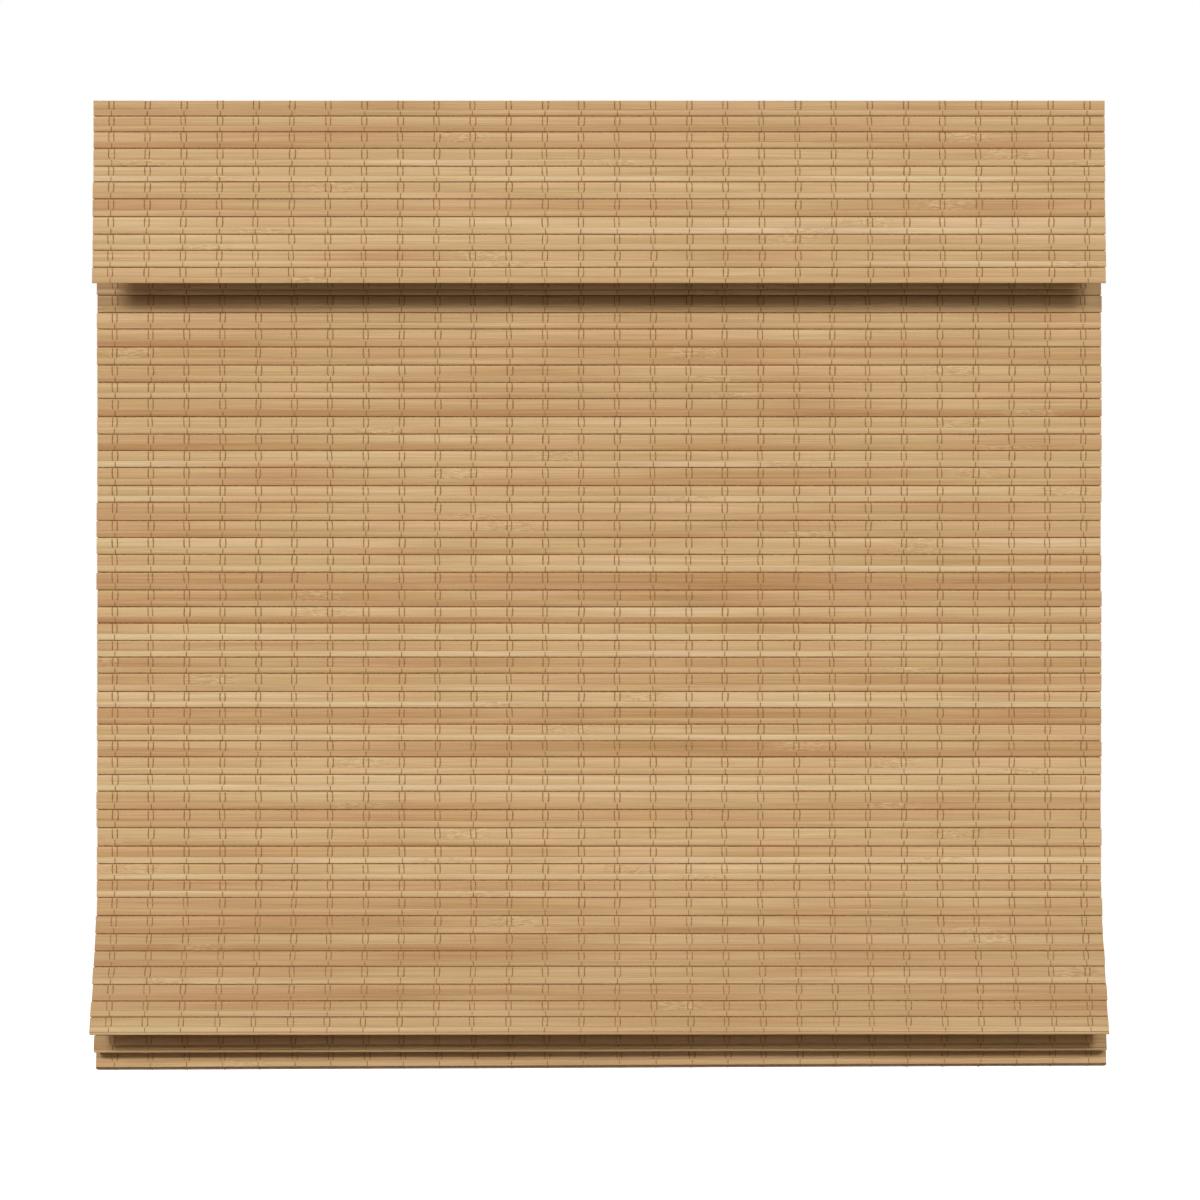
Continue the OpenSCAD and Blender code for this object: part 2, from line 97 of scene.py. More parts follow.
class Body(str, Enum):
    """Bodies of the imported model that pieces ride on."""

    HEADRAIL = "headrail"
    STACK = "lift_stack"
    DRIVE = "lift_drive"


class Strip(Enum):
    """The two strips that each slat is split into, by their share of its width, from the top edge down."""

    WIDE = 0.63
    NARROW = 0.37


def linear(colour: str) -> tuple[float, float, float, float]:
    """Turn an sRGB hex colour into linear light.

    Args:
        colour: A colour such as "#C9A573".

    Returns:
        Red, green, blue and alpha for a shader socket.
    """
    parts = [int(colour[i:i + 2], 16) / 255 for i in (1, 3, 5)]
    red, green, blue = (p / 12.92 if p <= 0.04045 else ((p + 0.055) / 1.055) ** 2.4 for p in parts)
    return red, green, blue, 1.0


def feed(tree: bpy.types.NodeTree, node: bpy.types.Node, sockets: dict[Any, Any] | Sequence[Any]) -> None:
    """Set or link the inputs of a node.

    Args:
        tree: The node's tree.
        node: The node.
        sockets: Inputs in order, or by name or number: a value, an output socket, or a node that feeds it
            from its first live output.
    """
    for key, value in sockets.items() if isinstance(sockets, dict) else enumerate(sockets):
        if isinstance(value, bpy.types.Node):
            value = next(output for output in value.outputs if output.enabled)
        if isinstance(value, bpy.types.NodeSocket):
            tree.links.new(value, node.inputs[key])
        else:
            node.inputs[key].default_value = value


def add(tree: bpy.types.NodeTree, kind: str, sockets: dict[Any, Any] | Sequence[Any] = (),
        **settings: Any) -> bpy.types.Node:
    """Add a node with its settings, and set or link its inputs.

    Args:
        tree: The shader or geometry tree that gets the node.
        kind: The node's type name.
        sockets: Its inputs, as feed takes them.
        **settings: Properties of the node.

    Returns:
        The new node.
    """
    node = tree.nodes.new(kind)
    for name, value in settings.items():
        setattr(node, name, value)
    feed(tree, node, sockets)
    return node


def new_material(name: str) -> tuple[bpy.types.Material, bpy.types.NodeTree, bpy.types.Node]:
    """Make an empty node material.

    Args:
        name: The material's name.

    Returns:
        The material, its tree and its Principled shader.
    """
    material = bpy.data.materials.new(name)
    material.use_nodes = True
    tree = material.node_tree
    return material, tree, tree.nodes["Principled BSDF"]


@dataclass(frozen=True)
class SplitBamboo:
    """Split bamboo, planed and oiled: satin strips, pale straw to reddish tan, with fine fibres along them.

    Sizes of patterns are the length and width of one grain. A span is the range of a noise that is used, a
    share is how much of a pattern shows, and the steps keep the patterns of different strips apart.
    """

    tones: tuple[str, ...] = ("#E0C398", "#D7B587", "#CFAB7C", "#C69D6F", "#BC9062", "#B28455")
    blush: str = "#FFFBFD"
    straw: str = "#FBFFF9"
    node_light: str = "#E6CB9C"
    node_dark: str = "#AE8250"
    # Colour of the painted shade at a strip's edges, next to the gaps between slats.
    edge: str = "#8A6238"
    fibre_mm: tuple[float, float] = (70.0, 0.7)
    fibre_span: tuple[float, float] = (0.28, 0.72)
    fibre_shade: tuple[float, float] = (0.86, 1.07)
    streak_mm: tuple[float, float] = (260.0, 2.6)
    streak_share: float = 0.68
    drift_mm: tuple[float, float] = (210.0, 1000.0)
    drift_share: float = 0.76
    hue_mm: tuple[float, float] = (150.0, 6.0)
    node_every_mm: float = 420.0
    node_reach: tuple[float, float] = (0.025, 0.075)
    node_missing: float = 0.7
    mark_mm: tuple[float, float] = (13.0, 1.5)
    mark_span: tuple[float, float] = (0.4, 0.62)
    mark_curl: float = 2.4
    mark_share: float = 0.42
    # Where the painted shade at the edges begins across the strip, and how much of it shows.
    edge_shade_from: float = 0.93
    edge_shade_share: float = 0.34
    strip_step: float = 613.0
    node_step: float = 3.1
    roughness: tuple[float, float] = (0.6, 0.46)
    mirror: float = 0.2
    relief_mm: float = 0.12
    relief: float = 0.35

    def material(self) -> bpy.types.Material:
        """Make the material.

        Returns:
            A material that reads along, across, rim, tone and painted shade from the mesh.
        """
        material, tree, shader = new_material("split_bamboo")
        carried = {name: add(tree, "ShaderNodeAttribute", attribute_name=name).outputs["Fac"]
                   for name in ("along", "across", "rim", "tone", "dull")}
        along, across = (add(tree, "ShaderNodeMath", [carried[name], MM], operation="DIVIDE")
                         for name in ("along", "across"))
        seed = add(tree, "ShaderNodeMath", [carried["tone"], self.strip_step], operation="MULTIPLY")

        def grain(size_mm: tuple[float, float], detail: float, curl: float = 0.0) -> bpy.types.Node:
            """Draw a grain that follows the strip.

            Args:
                size_mm: Length and width of one grain.
                detail: Number of finer layers.
                curl: How far it is bent.

            Returns:
                Noise drawn out along the strip.
            """
            place = add(tree, "ShaderNodeCombineXYZ", [
                add(tree, "ShaderNodeMath", [along, size_mm[0]], operation="DIVIDE"),
                add(tree, "ShaderNodeMath", [across, size_mm[1]], operation="DIVIDE"), seed])
            sockets = {"Vector": place, "Scale": 1.0, "Detail": detail, "Distortion": curl}
            return add(tree, "ShaderNodeTexNoise", sockets)

        # The strip's own tone, which drifts along it and varies from streak to streak.
        shade = carried["tone"]
        for pattern, share in ((grain(self.drift_mm, detail=1.0), self.drift_share),
                               (grain(self.streak_mm, detail=2.0), self.streak_share)):
            swing = add(tree, "ShaderNodeMath", [pattern, NOISE_MIDDLE], operation="SUBTRACT")
            shade = add(tree, "ShaderNodeMath", [swing, share, shade], operation="MULTIPLY_ADD")
        ramp = add(tree, "ShaderNodeValToRGB", [shade])
        stops = ramp.color_ramp.elements
        for i, tone in enumerate(self.tones):
            place = i / (len(self.tones) - 1)
            stop = stops[i] if i < 2 else stops.new(place)
            stop.position = place
            stop.color = linear(tone)

        # Fine fibres, and a slow change of hue.
        fibre = grain(self.fibre_mm, detail=3.0)
        lines = add(tree, "ShaderNodeMapRange", [fibre, *self.fibre_span, *self.fibre_shade], **EASED)
        hue = add(tree, "ShaderNodeMapRange", [grain(self.hue_mm, detail=2.0), *NOISE_SPAN], **EASED)
        tint = add(tree, "ShaderNodeMix", {0: hue, 6: linear(self.blush), 7: linear(self.straw)}, **COLOURS)
        colour = ramp
        for factor in (lines, tint):
            sockets = {0: 1.0, 6: colour, 7: factor}
            colour = add(tree, "ShaderNodeMix", sockets, **COLOURS, blend_type="MULTIPLY")

        # Marks of the cane's nodes, here and there along each strip.
        cell = add(tree, "ShaderNodeMath", [along, self.node_every_mm], operation="DIVIDE")
        place = add(tree, "ShaderNodeMath", [seed, self.node_step, cell], operation="MULTIPLY_ADD")
        cells = add(tree, "ShaderNodeTexVoronoi", {"W": place, "Scale": 1.0}, voronoi_dimensions="1D").outputs
        near = add(tree, "ShaderNodeMapRange", [cells["Distance"], *self.node_reach, 1.0, 0.0], **EASED)
        draw = add(tree, "ShaderNodeSeparateColor", [cells["Color"]])
        present = add(tree, "ShaderNodeMath", [draw, self.node_missing], operation="GREATER_THAN")
        mask = add(tree, "ShaderNodeMath", [near, present], operation="MULTIPLY")
        mask = add(tree, "ShaderNodeMath", [mask, self.mark_share], operation="MULTIPLY")
        squiggle = grain(self.mark_mm, detail=2.0, curl=self.mark_curl)
        squiggle = add(tree, "ShaderNodeMapRange", [squiggle, *self.mark_span], **EASED)
        sockets = {0: squiggle, 6: linear(self.node_dark), 7: linear(self.node_light)}
        marks = add(tree, "ShaderNodeMix", sockets, **COLOURS)

        # Over that go the marks, painted shade at the slat's edges next to the gaps, and painted shade from
        # the mesh that darkens slats by how they face the lamps.
        sockets = [carried["rim"], self.edge_shade_from, 1.0, 0.0, self.edge_shade_share]
        rim = add(tree, "ShaderNodeMapRange", sockets, **EASED)
        for share, over in ((mask, marks), (rim, linear(self.edge)), (carried["dull"], linear(SHADE_BLACK))):
            colour = add(tree, "ShaderNodeMix", {0: share, 6: colour, 7: over}, **COLOURS)
        gloss = add(tree, "ShaderNodeMapRange", [fibre, *NOISE_SPAN, *self.roughness], **EASED)
        sockets = {"Height": fibre, "Distance": self.relief_mm * MM, "Strength": self.relief}
        feed(tree, shader, {"Base Color": colour, "Roughness": gloss, "Specular IOR Level": self.mirror,
                            "Normal": add(tree, "ShaderNodeBump", sockets)})
        return material


@dataclass(frozen=True)
class SpunThread:
    """Spun polyester thread, waxed brown: matt, with painted highlights where its plies catch a little light.
    """

    name: str = "spun_thread"
    light: str = "#B18753"
    dark: str = "#8C6336"
    ply_mm: float = 1.6
    ply_span: tuple[float, float] = (0.35, 0.65)
    roughness: float = 0.8
    relief_mm: float = 0.1
    relief: float = 0.5

    def material(self) -> bpy.types.Material:
        """Make the material from noise at the spacing of the plies.

        Returns:
            A material that reads painted shade from the mesh.
        """
        material, tree, shader = new_material(self.name)
        place = add(tree, "ShaderNodeTexCoord").outputs["Object"]
        sockets = {"Vector": place, "Scale": 1 / (self.ply_mm * MM), "Detail": 1.0}
        plies = add(tree, "ShaderNodeTexNoise", sockets)
        # Lighter and darker thread along the plies: painted highlight on the ply crests.
        painted_shading = add(tree, "ShaderNodeMapRange", [plies, *self.ply_span], **EASED)
        colour = add(tree, "ShaderNodeMix", {0: painted_shading, 6: linear(self.dark), 7: linear(self.light)}, **COLOURS)
        # Painted shade from the mesh mixes the thread towards black.
        dull = add(tree, "ShaderNodeAttribute", attribute_name="dull").outputs["Fac"]
        colour = add(tree, "ShaderNodeMix", {0: dull, 6: colour, 7: linear(SHADE_BLACK)}, **COLOURS)
        sockets = {"Height": plies, "Distance": self.relief_mm * MM, "Strength": self.relief}
        feed(tree, shader, {"Base Color": colour, "Roughness": self.roughness,
                            "Normal": add(tree, "ShaderNodeBump", sockets)})
        return material


@dataclass(frozen=True)
class PlanedPine:
    """Planed pine: pale yellow early wood with darker late-wood lines along the grain."""

    early: str = "#DFC493"
    late: str = "#C19A62"
    ring_mm: float = 3.2
    grain_mm: float = 260.0
    line_span: tuple[float, float] = (0.42, 0.64)
    roughness: float = 0.62
    relief_mm: float = 0.1
    relief: float = 0.3

    def material(self) -> bpy.types.Material:
        """Make the material.

        Returns:
            A material with its grain along X.
        """
        material, tree, shader = new_material("planed_pine")
        place = add(tree, "ShaderNodeTexCoord").outputs["Object"]
        across = 1 / (self.ring_mm * MM)
        sockets = {"Vector": place, "Scale": (1 / (self.grain_mm * MM), across, across)}
        sockets = {"Vector": add(tree, "ShaderNodeMapping", sockets), "Scale": 1.0, "Detail": 3.0}
        rings = add(tree, "ShaderNodeTexNoise", sockets)
        line = add(tree, "ShaderNodeMapRange", [rings, *self.line_span], **EASED)
        colour = add(tree, "ShaderNodeMix", {0: line, 6: linear(self.early), 7: linear(self.late)}, **COLOURS)
        sockets = {"Height": rings, "Distance": self.relief_mm * MM, "Strength": self.relief}
        feed(tree, shader, {"Base Color": colour, "Roughness": self.roughness,
                            "Normal": add(tree, "ShaderNodeBump", sockets)})
        return material


@dataclass(frozen=True)
class MottledFinish:
    """A hard finish whose colour and gloss wander a little: enamel, plating, blued strip or acetal."""

    name: str
    base: str
    mottle: str
    spot_mm: float
    metallic: float
    roughness: float
    relief_mm: float
    spot_span: tuple[float, float] = (0.35, 0.65)
    gloss_drift: float = 0.05
    relief: float = 0.3

    def material(self) -> bpy.types.Material:
        """Make the material.

        Returns:
            A material with noise at the size of its spots.
        """
        material, tree, shader = new_material(self.name)
        place = add(tree, "ShaderNodeTexCoord").outputs["Object"]
        sockets = {"Vector": place, "Scale": 1 / (self.spot_mm * MM), "Detail": 2.0}
        noise = add(tree, "ShaderNodeTexNoise", sockets)
        spots = add(tree, "ShaderNodeMapRange", [noise, *self.spot_span], **EASED)
        sockets = {0: spots, 6: linear(self.base), 7: linear(self.mottle)}
        colour = add(tree, "ShaderNodeMix", sockets, **COLOURS)
        sockets = [noise, *NOISE_SPAN, self.roughness - self.gloss_drift, self.roughness + self.gloss_drift]
        gloss = add(tree, "ShaderNodeMapRange", sockets, **EASED)
        sockets = {"Height": noise, "Distance": self.relief_mm * MM, "Strength": self.relief}
        feed(tree, shader, {"Base Color": colour, "Roughness": gloss, "Metallic": self.metallic,
                            "Normal": add(tree, "ShaderNodeBump", sockets)})
        return material


@dataclass(frozen=True)
class WovenBand:
    """A woven or braided band: two crossing sets of yarn, drawn as coarse as the render can show."""

    name: str
    crest: str
    valley: str
    yarn_mm: float
    slant: float = 35.0
    roughness: float = 0.85
    relief_mm: float = 0.25
    relief: float = 0.6

    def material(self) -> bpy.types.Material:
        """Make the material.

        Returns:
            A material with two slanting sets of waves.
        """
        material, tree, shader = new_material(self.name)
        place = add(tree, "ShaderNodeTexCoord").outputs["Object"]
        scale = 1 / (self.yarn_mm * MM) / math.tau
        waves = []
        for side in (-1, 1):
            sockets = {"Vector": place, "Rotation": (0.0, side * math.radians(self.slant), 0.0)}
            sockets = {"Vector": add(tree, "ShaderNodeMapping", sockets), "Scale": scale}
            waves.append(add(tree, "ShaderNodeTexWave", sockets, bands_direction="Z").outputs["Fac"])
        weave = add(tree, "ShaderNodeMath", waves, operation="MULTIPLY")
        sockets = {0: weave, 6: linear(self.valley), 7: linear(self.crest)}
        colour = add(tree, "ShaderNodeMix", sockets, **COLOURS)
        sockets = {"Height": weave, "Distance": self.relief_mm * MM, "Strength": self.relief}
        feed(tree, shader, {"Base Color": colour, "Roughness": self.roughness,
                            "Normal": add(tree, "ShaderNodeBump", sockets)})
        return material


@dataclass(frozen=True)
class Finishes:
    """One material for each finish on the shade."""

    bamboo: bpy.types.Material
    thread: bpy.types.Material
    joint: bpy.types.Material
    pine: bpy.types.Material
    enamel: bpy.types.Material
    zinc: bpy.types.Material
    spring: bpy.types.Material
    acetal: bpy.types.Material
    cord: bpy.types.Material
    tape: bpy.types.Material

    @classmethod
    def mix(cls) -> "Finishes":
        """Make every material once.

        Returns:
            All the finishes.
        """
        # The same thread in the joints, painted darker as the shade where it lies deep between the slats.
        joint = SpunThread(name="joint_thread", light="#A0733F", dark="#7A522A")
        # Stove enamel on rolled steel: smooth off-white with a faint orange peel.
        enamel = MottledFinish("stove_enamel", base="#EDEAE2", mottle="#EAE7DE", spot_mm=1.2,
                               metallic=0.0, roughness=0.34, relief_mm=0.012)
        # Zinc plating, bright: cool grey metal with soft clouds.
        zinc = MottledFinish("bright_zinc", base="#C4C8CB", mottle="#B4B9BD", spot_mm=4.0,
                             metallic=1.0, roughness=0.36, relief_mm=0.006)
        # Spring strip, rolled and blued: dark metal whose blue is uneven.
        spring = MottledFinish("blued_strip", base="#5A6069", mottle="#474C55", spot_mm=7.0,
                               metallic=1.0, roughness=0.3, relief_mm=0.01)
        # Acetal from a spark-eroded mould: milky white with a fine matt texture.
        acetal = MottledFinish("moulded_acetal", base="#F0EDE5", mottle="#E7E3D9", spot_mm=1.1,
                               metallic=0.0, roughness=0.46, relief_mm=0.03)
        # Braided polyester cord and woven tape: cream crests of yarn with shade between them.
        cord = WovenBand("braided_polyester", crest="#EFE7D6", valley="#CDBFA2", yarn_mm=0.9)
        tape = WovenBand("hook_and_loop", crest="#EFE9DB", valley="#CFC6B2", yarn_mm=1.2)
        return cls(*(finish.material() for finish in (
            SplitBamboo(), SpunThread(), joint, PlanedPine(), enamel, zinc, spring, acetal, cord, tape)))


@dataclass(frozen=True)
class Segment:
    """One stretch of a mat's section, from its upper joint to its lower one as woven.

    Args:
        start: Where it begins, as y and z.
        length: Joint to joint.
        lean: Degrees forward of straight down.
        is_slat: Whether it is a slat, and not the turn of a fold.
        aside: How far it hangs to the right.
        tilt: Radians by which its right end hangs high.
    """

    start: tuple[float, float]
    length: float
    lean: float
    is_slat: bool = True
    aside: float = 0.0
    tilt: float = 0.0

    @property
    def end(self) -> tuple[float, float]:
        """Where it ends, as y and z."""
        turn = math.radians(self.lean)
        return self.start[0] - self.length * math.sin(turn), self.start[1] - self.length * math.cos(turn)

    @property
    def middle(self) -> tuple[float, float]:
        """Halfway point, as y and z."""
        return (self.start[0] + self.end[0]) / 2, (self.start[1] + self.end[1]) / 2


@dataclass(frozen=True)
class Weave:
    """The weaving pattern that all mats share, in the same sizes as their solids."""

    slat_t: float = 1.6 * MM
    gap: float = 0.8 * MM
    pitch: float = 14.4 * MM
    valance_pitch: float = 14.05 * MM
    vary: float = 0.07
    phase: float = 147.2
    columns: int = 28
    column_pitch: float = 30.0 * MM
    pair_spread: float = 2.2 * MM
    thread_d: float = 0.8 * MM
    link: float = 2.6 * MM

    def swell(self, count: int) -> float:
        """How much wider than the mean a slat is, by its place in the weave."""
        return 1 + self.vary * math.sin(math.radians(self.phase * count * count))


Look = Callable[[Segment], tuple[float, float]]


@dataclass
class Chain:
    """A mat's section under way: it grows one segment at a time from where it starts."""

    at: tuple[float, float]

    def run(self, steps: Sequence[tuple[float, float, bool]]) -> list[Segment]:
        """Lay segments end to end.

        Args:
            steps: Length, lean and whether it is a slat, for each segment.

        Returns:
            The segments in order.
        """
        laid = []
        for length, lean, is_slat in steps:
            laid.append(Segment(self.at, length, lean, is_slat))
            self.at = laid[-1].end
        return laid


def prism(rings: Sequence[Sequence[Vector]]) -> Solid:
    """Join closed rings of points into a capped solid.

    Args:
        rings: Rings with the same number of points each, turning left as seen from the last ring's side.

    Returns:
        Points and faces, with faces that point outwards.
    """
    count = len(rings[0])
    points = [p for ring in rings for p in ring]
    faces = [tuple(reversed(range(count))), tuple((len(rings) - 1) * count + i for i in range(count))]
    for r in range(len(rings) - 1):
        for i in range(count):
            j = (i + 1) % count
            faces.append((r * count + i, r * count + j, (r + 1) * count + j, (r + 1) * count + i))
    return points, faces


def tube(path: Sequence[Vector], radius: float, sides: int) -> Solid:
    """Sweep a round section along a path.

    Args:
        path: Points along the middle.
        radius: Radius of the section.
        sides: Sides of the section.

    Returns:
        Points and faces of a capped tube.
    """
    depth = Vector((0, 1, 0))
    end_on = 0.9
    last = len(path) - 1
    points: list[Vector] = []
    for i, place in enumerate(path):
        way = (path[min(i + 1, last)] - path[max(i - 1, 0)]).normalized()
        side = way.orthogonal().normalized() if abs(way.y) > end_on else way.cross(depth).normalized()
        up = side.cross(way)
        for k in range(sides):
            turn = math.tau * k / sides
            points.append(place + radius * (math.cos(turn) * side + math.sin(turn) * up))
    first_cap, last_cap = range(sides), range(last * sides, (last + 1) * sides)
    faces: list[tuple[int, ...]] = [tuple(first_cap), tuple(reversed(last_cap))]
    for i in range(last):
        for k in range(sides):
            j = (k + 1) % sides
            faces.append((i * sides + k, (i + 1) * sides + k, (i + 1) * sides + j, i * sides + j))
    return points, faces


def mesh_of(name: str, *solids: Solid) -> bpy.types.Mesh:
    """Gather solids in one mesh.

    Args:
        name: The mesh's name.
        *solids: Points and faces of each solid.

    Returns:
        The mesh.
    """
    points: list[Vector] = []
    faces: list[tuple[int, ...]] = []
    for solid_points, solid_faces in solids:
        base = len(points)
        points += solid_points
        faces += [tuple(base + i for i in face) for face in solid_faces]
    mesh = bpy.data.meshes.new(name)
    mesh.from_pydata(points, [], faces)
    mesh.update()
    return mesh


def set_values(mesh: bpy.types.Mesh, name: str, values: Sequence[Any], kind: str = "FLOAT") -> None:
    """Store one number or vector at each point of a mesh.

    Args:
        mesh: The mesh.
        name: What the value is called.
        values: A value for each point.
        kind: FLOAT or FLOAT_VECTOR.
    """
    layer = mesh.attributes.new(name, kind, "POINT")
    if kind == "FLOAT_VECTOR":
        layer.data.foreach_set("vector", [x for v in values for x in v])
    else:
        layer.data.foreach_set("value", list(values))


def placed(name: str, mesh: bpy.types.Mesh) -> bpy.types.Object:
    """Put a mesh in the scene as an object at the origin.

    Args:
        name: The object's name.
        mesh: Its mesh.

    Returns:
        The object.
    """
    piece = bpy.data.objects.new(name, mesh)
    bpy.context.scene.collection.objects.link(piece)
    return piece


def smoothed(piece: bpy.types.Object, degrees: float) -> None:
    """Shade a piece smooth, with creases where faces meet at more than an angle."""
    piece.data.shade_smooth()
    piece.data.set_sharp_from_angle(angle=math.radians(degrees))


def joined(name: str, parts: Sequence[bpy.types.Object]) -> bpy.types.Object:
    """Join mesh objects into the first one, keeping their materials and values.

    Args:
        name: Name of the joined piece.
        parts: Objects at the origin.

    Returns:
        The joined piece.
    """
    with bpy.context.temp_override(active_object=parts[0], selected_editable_objects=list(parts)):
        bpy.ops.object.join()
    parts[0].name = name
    parts[0].data.name = name
    return parts[0]


class RowTree:
    """A Geometry Nodes tree that repeats one shape on rows of points."""

    def __init__(self, name: str, inputs: dict[str, str], carried: dict[str, str]) -> None:
        """Start a tree.

        Args:
            name: The tree's name.
            inputs: Names and socket types of its inputs after the points.
            carried: Names and types of the values that it reads from points or shape.
        """
        self.tree = bpy.data.node_groups.new(name, "GeometryNodeTree")
        face = self.tree.interface
        face.new_socket("Rows", in_out="INPUT", socket_type="NodeSocketGeometry")
        self.sockets = {label: face.new_socket(label, in_out="INPUT", socket_type=kind).identifier
                        for label, kind in inputs.items()}
        face.new_socket("Mesh", in_out="OUTPUT", socket_type="NodeSocketGeometry")
        self.given = add(self.tree, "NodeGroupInput").outputs
        self.carried = {
            label: add(self.tree, "GeometryNodeInputNamedAttribute", {"Name": label}, data_type=kind)
            for label, kind in carried.items()}

    def repeat(self, points: Any, shape: Any, turn: Any, stretch: Any) -> bpy.types.Node:
        """Set a shape on every point and make it real.

        Args:
            points: Where it goes.
            shape: What is repeated.
            turn: Rotation at each point.
            stretch: Scale at each point.

        Returns:
            The node that gives the real mesh.
        """
        sockets = {"Points": points, "Instance": shape, "Rotation": turn, "Scale": stretch}
        copies = add(self.tree, "GeometryNodeInstanceOnPoints", sockets)
        return add(self.tree, "GeometryNodeRealizeInstances", [copies])

    def close(self, mesh: Any) -> None:
        """Give the mesh its finish and end the tree."""
        sockets = {"Geometry": mesh, "Material": self.given["Finish"]}
        add(self.tree, "NodeGroupOutput", [add(self.tree, "GeometryNodeSetMaterial", sockets)])

    def make(self, name: str, rows: bpy.types.Mesh, values: dict[str, Any]) -> bpy.types.Object:
        """Run the tree on rows of points.

        Args:
            name: Name of the finished piece.
            rows: A mesh of loose points.
            values: Input name to value.

        Returns:
            A plain mesh object at the origin.
        """
        holder = placed(name + "_rows", rows)
        modifier = holder.modifiers.new("repeat", "NODES")
        modifier.node_group = self.tree
        for key, value in values.items():
            modifier[self.sockets[key]] = value
        graph = bpy.context.evaluated_depsgraph_get()
        mesh = bpy.data.meshes.new_from_object(
            holder.evaluated_get(graph), preserve_all_data_layers=True, depsgraph=graph)
        mesh.name = name
        holder.modifiers.clear()
        bpy.data.objects.remove(holder)
        return placed(name, mesh)


class SlatTree(RowTree):
    """Repeats a strip of bamboo on rows of points, and lets it wander a little along its length."""

    slat_step: ClassVar[float] = 17.3
    wander: ClassVar[tuple[float, float, float]] = (0.0, 0.6, 1.0)

    def __init__(self) -> None:
        """Build the tree."""
        super().__init__("bamboo_strips", {
            "Strip": "NodeSocketObject", "Finish": "NodeSocketMaterial", "Wave height": "NodeSocketFloat",
            "Wave length": "NodeSocketFloat"}, {
            "turn": "FLOAT_VECTOR", "stretch": "FLOAT_VECTOR", "along": "FLOAT", "slat": "FLOAT"})
        tree, given, carried = self.tree, self.given, self.carried
        shape = add(tree, "GeometryNodeObjectInfo", {"Object": given["Strip"]}).outputs["Geometry"]
        turn = add(tree, "FunctionNodeEulerToRotation", [carried["turn"]])
        mesh = self.repeat(given["Rows"], shape, turn, carried["stretch"])
        waves = add(tree, "ShaderNodeMath", [carried["along"], given["Wave length"]], operation="DIVIDE")
        place = add(tree, "ShaderNodeCombineXYZ", [waves])
        apart = add(tree, "ShaderNodeMath", [carried["slat"], self.slat_step], operation="MULTIPLY")
        sockets = {"Vector": place, "W": apart, "Scale": 1.0}
        noise = add(tree, "ShaderNodeTexNoise", sockets, noise_dimensions="4D").outputs["Color"]
        swing = add(tree, "ShaderNodeVectorMath", [noise, (NOISE_MIDDLE,) * 3], operation="SUBTRACT")
        sockets = {0: swing, "Scale": given["Wave height"]}
        swing = add(tree, "ShaderNodeVectorMath", sockets, operation="SCALE")
        swing = add(tree, "ShaderNodeVectorMath", [swing, self.wander], operation="MULTIPLY")
        self.close(add(tree, "GeometryNodeSetPosition", {"Geometry": mesh, "Offset": swing}))


class StitchTree(RowTree):
    """Repeats a stitch along the columns of every slat, each a little out of true."""

    slant: ClassVar[float] = 0.06
    least: ClassVar[tuple[float, float, float]] = (0.82, 0.96, 0.9)
    most: ClassVar[tuple[float, float, float]] = (1.14, 1.05, 0.985)

    def __init__(self) -> None:
        """Build the tree."""
        super().__init__("stitch_columns", {
            "Stitch": "NodeSocketObject", "Finish": "NodeSocketMaterial", "Columns": "NodeSocketInt",
            "Column pitch": "NodeSocketFloat", "Play": "NodeSocketFloat", "Seed": "NodeSocketInt"}, {
            "turn": "FLOAT_VECTOR", "tilt": "FLOAT_VECTOR", "stretch": "FLOAT_VECTOR"})
        tree, given, carried = self.tree, self.given, self.carried
        play = add(tree, "ShaderNodeCombineXYZ", [given["Play"]])
        back = add(tree, "ShaderNodeVectorMath", {0: play, "Scale": -1.0}, operation="SCALE")
        shift, slant, size = (
            add(tree, "FunctionNodeRandomValue", {0: low, 1: high, "Seed": given["Seed"]},
                data_type="FLOAT_VECTOR")
            for low, high in ((back, play), ((0.0, -self.slant, 0.0), (0.0, self.slant, 0.0)),
                              (self.least, self.most)))
        reach = add(tree, "ShaderNodeMath", [given["Columns"], 1.0], operation="SUBTRACT")
        reach = add(tree, "ShaderNodeMath", [reach, given["Column pitch"]], operation="MULTIPLY")
        reach = add(tree, "ShaderNodeMath", [reach, -0.5], operation="MULTIPLY")
        sockets = {"Count": given["Columns"], "Start Location": add(tree, "ShaderNodeCombineXYZ", [reach]),
                   "Offset": add(tree, "ShaderNodeCombineXYZ", [given["Column pitch"]])}
        line = add(tree, "GeometryNodeMeshLine", sockets)
        tilt = add(tree, "FunctionNodeEulerToRotation", [carried["tilt"]])
        spots = self.repeat(given["Rows"], line, tilt, UNSTRETCHED)
        spots = add(tree, "GeometryNodeSetPosition", {"Geometry": spots, "Offset": shift})
        shape = add(tree, "GeometryNodeObjectInfo", {"Object": given["Stitch"]}).outputs["Geometry"]
        turn = add(tree, "FunctionNodeEulerToRotation", [carried["turn"]])
        slant = add(tree, "FunctionNodeEulerToRotation", [slant])
        turn = add(tree, "FunctionNodeRotateRotation", [turn, slant], rotation_space="LOCAL")
        size = add(tree, "ShaderNodeVectorMath", [size, carried["stretch"]], operation="MULTIPLY")
        self.close(self.repeat(spots, shape, turn, size))


